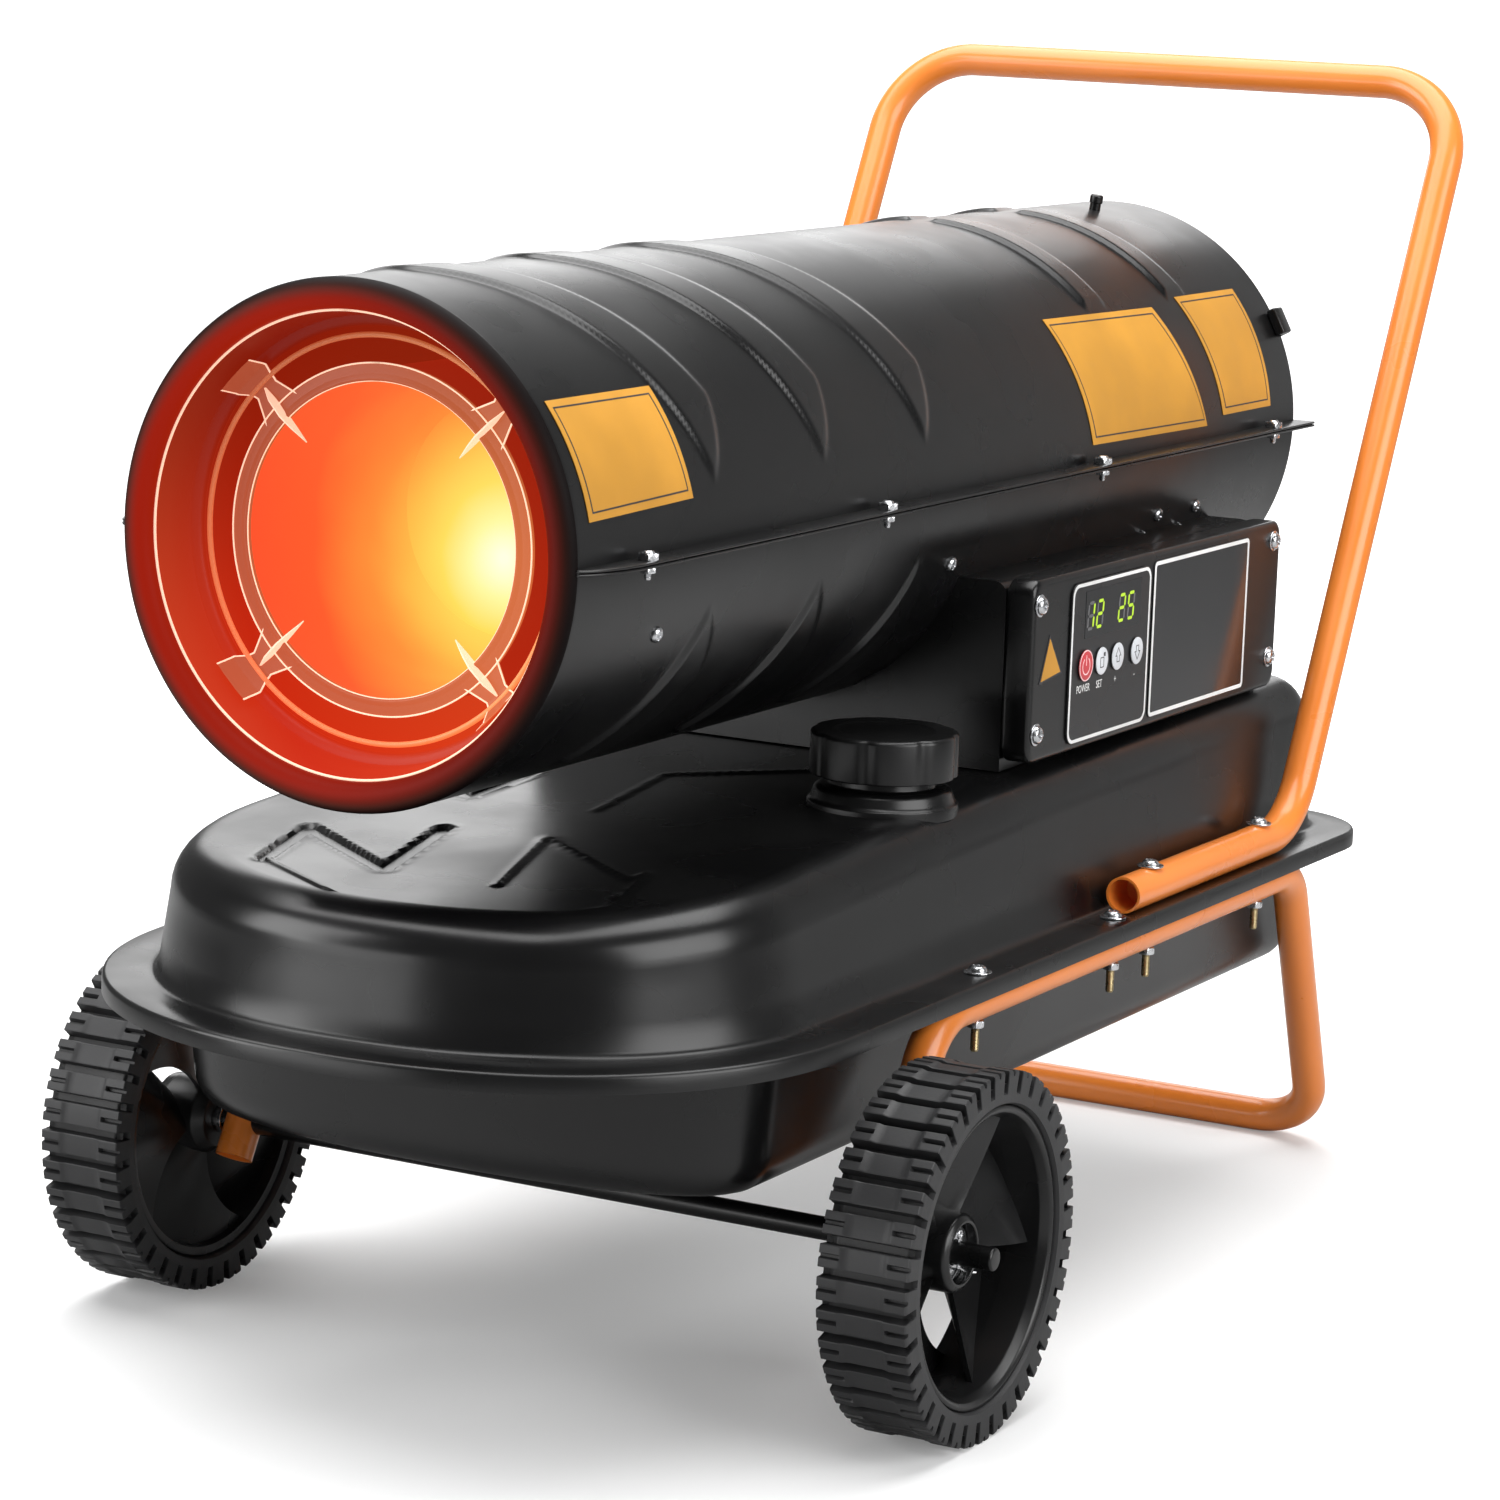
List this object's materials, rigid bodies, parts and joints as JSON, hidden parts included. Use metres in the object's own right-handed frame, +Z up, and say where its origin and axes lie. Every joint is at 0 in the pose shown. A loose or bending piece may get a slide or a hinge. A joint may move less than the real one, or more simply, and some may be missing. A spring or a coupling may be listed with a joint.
{
  "type": "forced air heater",
  "caption": "Forced air diesel heater: ribbed drum with outlet and fan on a fuel tank with wheels, a tube frame, a push handle and a control box.",
  "frame": {"origin": "centre of the bounding box's bottom face, on the floor", "axes": "+Z up, outlet faces -Y, control panel faces +X"},
  "size_m": [0.558, 1.0619, 0.7149],
  "materials": {
    "black_paint": "satin black enamel",
    "orange_paint": "satin orange enamel",
    "black_plastic": "fine matte",
    "wheel_plastic": "gloss black",
    "tyre_rubber": "matte with moulded lugs",
    "rubber": "matte",
    "guard_wire": "satin black",
    "zinc": "bright zinc plate",
    "hot_steel": "heat-tinted steel",
    "cast_alloy": "cast",
    "brass": "turned",
    "ceramic": "white glazed ceramic",
    "display": "dark smoked lens",
    "board": "green solder mask",
    "red_button": "matte red",
    "grey_button": "matte light grey",
    "filter_plastic": "translucent white"
  },
  "bodies": {
    "heater": {"air_filter_cover": "black_plastic", "air_pump": "cast_alloy", "axle_rod": "black_paint", "axle_spacer_left": "zinc", "axle_spacer_right": "zinc", "axle_washer_left": "zinc", "axle_washer_right": "zinc", "burner_head": "cast_alloy", "circuit_board": "board", "combustion_chamber": "hot_steel", "control_cover": "black_paint", "control_panel": "black_plastic", "cord_gland": "black_plastic", "cotter_pin_left": "zinc", "cotter_pin_right": "zinc", "display_module": "display", "drain_plug": "zinc", "drum_lower_shell": "black_paint", "drum_upper_shell": "black_paint", "filler_neck": "black_paint", "flame_baffle": "hot_steel", "flame_sensor": "black_plastic", "flange_bolt_left_1": "zinc", "flange_bolt_left_2": "zinc", "flange_bolt_right_1": "zinc", "flange_bolt_right_2": "zinc", "frame_tube": "orange_paint", "fuel_filter": "filter_plastic", "fuel_line": "rubber", "fuel_nozzle": "brass", "fuel_pickup": "brass", "handle_bolt_left_1": "zinc", "handle_bolt_left_2": "zinc", "handle_bolt_right_1": "zinc", "handle_bolt_right_2": "zinc", "handle_tube": "orange_paint", "heat_shield": "hot_steel", "igniter": "ceramic", "ignition_transformer": "cast_alloy", "motor": "cast_alloy", "motor_bracket": "black_paint", "outlet_ring": "hot_steel", "rear_guard": "guard_wire", "support_housing": "black_paint", "tank_lower_pan": "black_paint", "tank_upper_pan": "black_paint", "top_stud": "black_plastic"},
    "wheel_right": {"tyre_right": "tyre_rubber", "wheel_rim_right": "wheel_plastic"},
    "wheel_left": {"tyre_left": "tyre_rubber", "wheel_rim_left": "wheel_plastic"},
    "fan_rotor": {"fan": "black_plastic", "motor_shaft": "zinc"},
    "gasket": {"cap_gasket": "rubber"},
    "cap": {"fuel_cap": "black_plastic"},
    "power_key": {"power_button": "red_button"},
    "set_key": {"set_button": "grey_button"},
    "plus_key": {"plus_button": "grey_button"},
    "minus_key": {"minus_button": "grey_button"}
  },
  "joints": [
    {"name": "wheel_right_spin", "type": "hinge", "parent": "heater", "child": "wheel_right", "pos_m": [0.2505, -0.27, 0.102], "axis": [1, 0, 0], "continuous": true},
    {"name": "wheel_left_spin", "type": "hinge", "parent": "heater", "child": "wheel_left", "pos_m": [-0.2505, -0.27, 0.102], "axis": [1, 0, 0], "continuous": true},
    {"name": "fan_spin", "type": "hinge", "parent": "heater", "child": "fan_rotor", "pos_m": [0, 0.065, 0.482], "axis": [0, 1, 0], "continuous": true},
    {"name": "cap_lift", "type": "slide", "parent": "heater", "child": "gasket", "axis": [0, 0, 1], "range_m": [0, 0.02]},
    {"name": "cap_turn", "type": "hinge", "parent": "gasket", "child": "cap", "pos_m": [0.134, -0.14, 0.345], "axis": [0, 0, 1], "range_deg": [0, 90]},
    {"name": "power_press", "type": "slide", "parent": "heater", "child": "power_key", "axis": [-1, 0, 0], "range_m": [0, 0.0008], "stiffness_N_per_m": 300},
    {"name": "set_press", "type": "slide", "parent": "heater", "child": "set_key", "axis": [-1, 0, 0], "range_m": [0, 0.0008], "stiffness_N_per_m": 300},
    {"name": "plus_press", "type": "slide", "parent": "heater", "child": "plus_key", "axis": [-1, 0, 0], "range_m": [0, 0.0008], "stiffness_N_per_m": 300},
    {"name": "minus_press", "type": "slide", "parent": "heater", "child": "minus_key", "axis": [-1, 0, 0], "range_m": [0, 0.0008], "stiffness_N_per_m": 300}
  ]
}
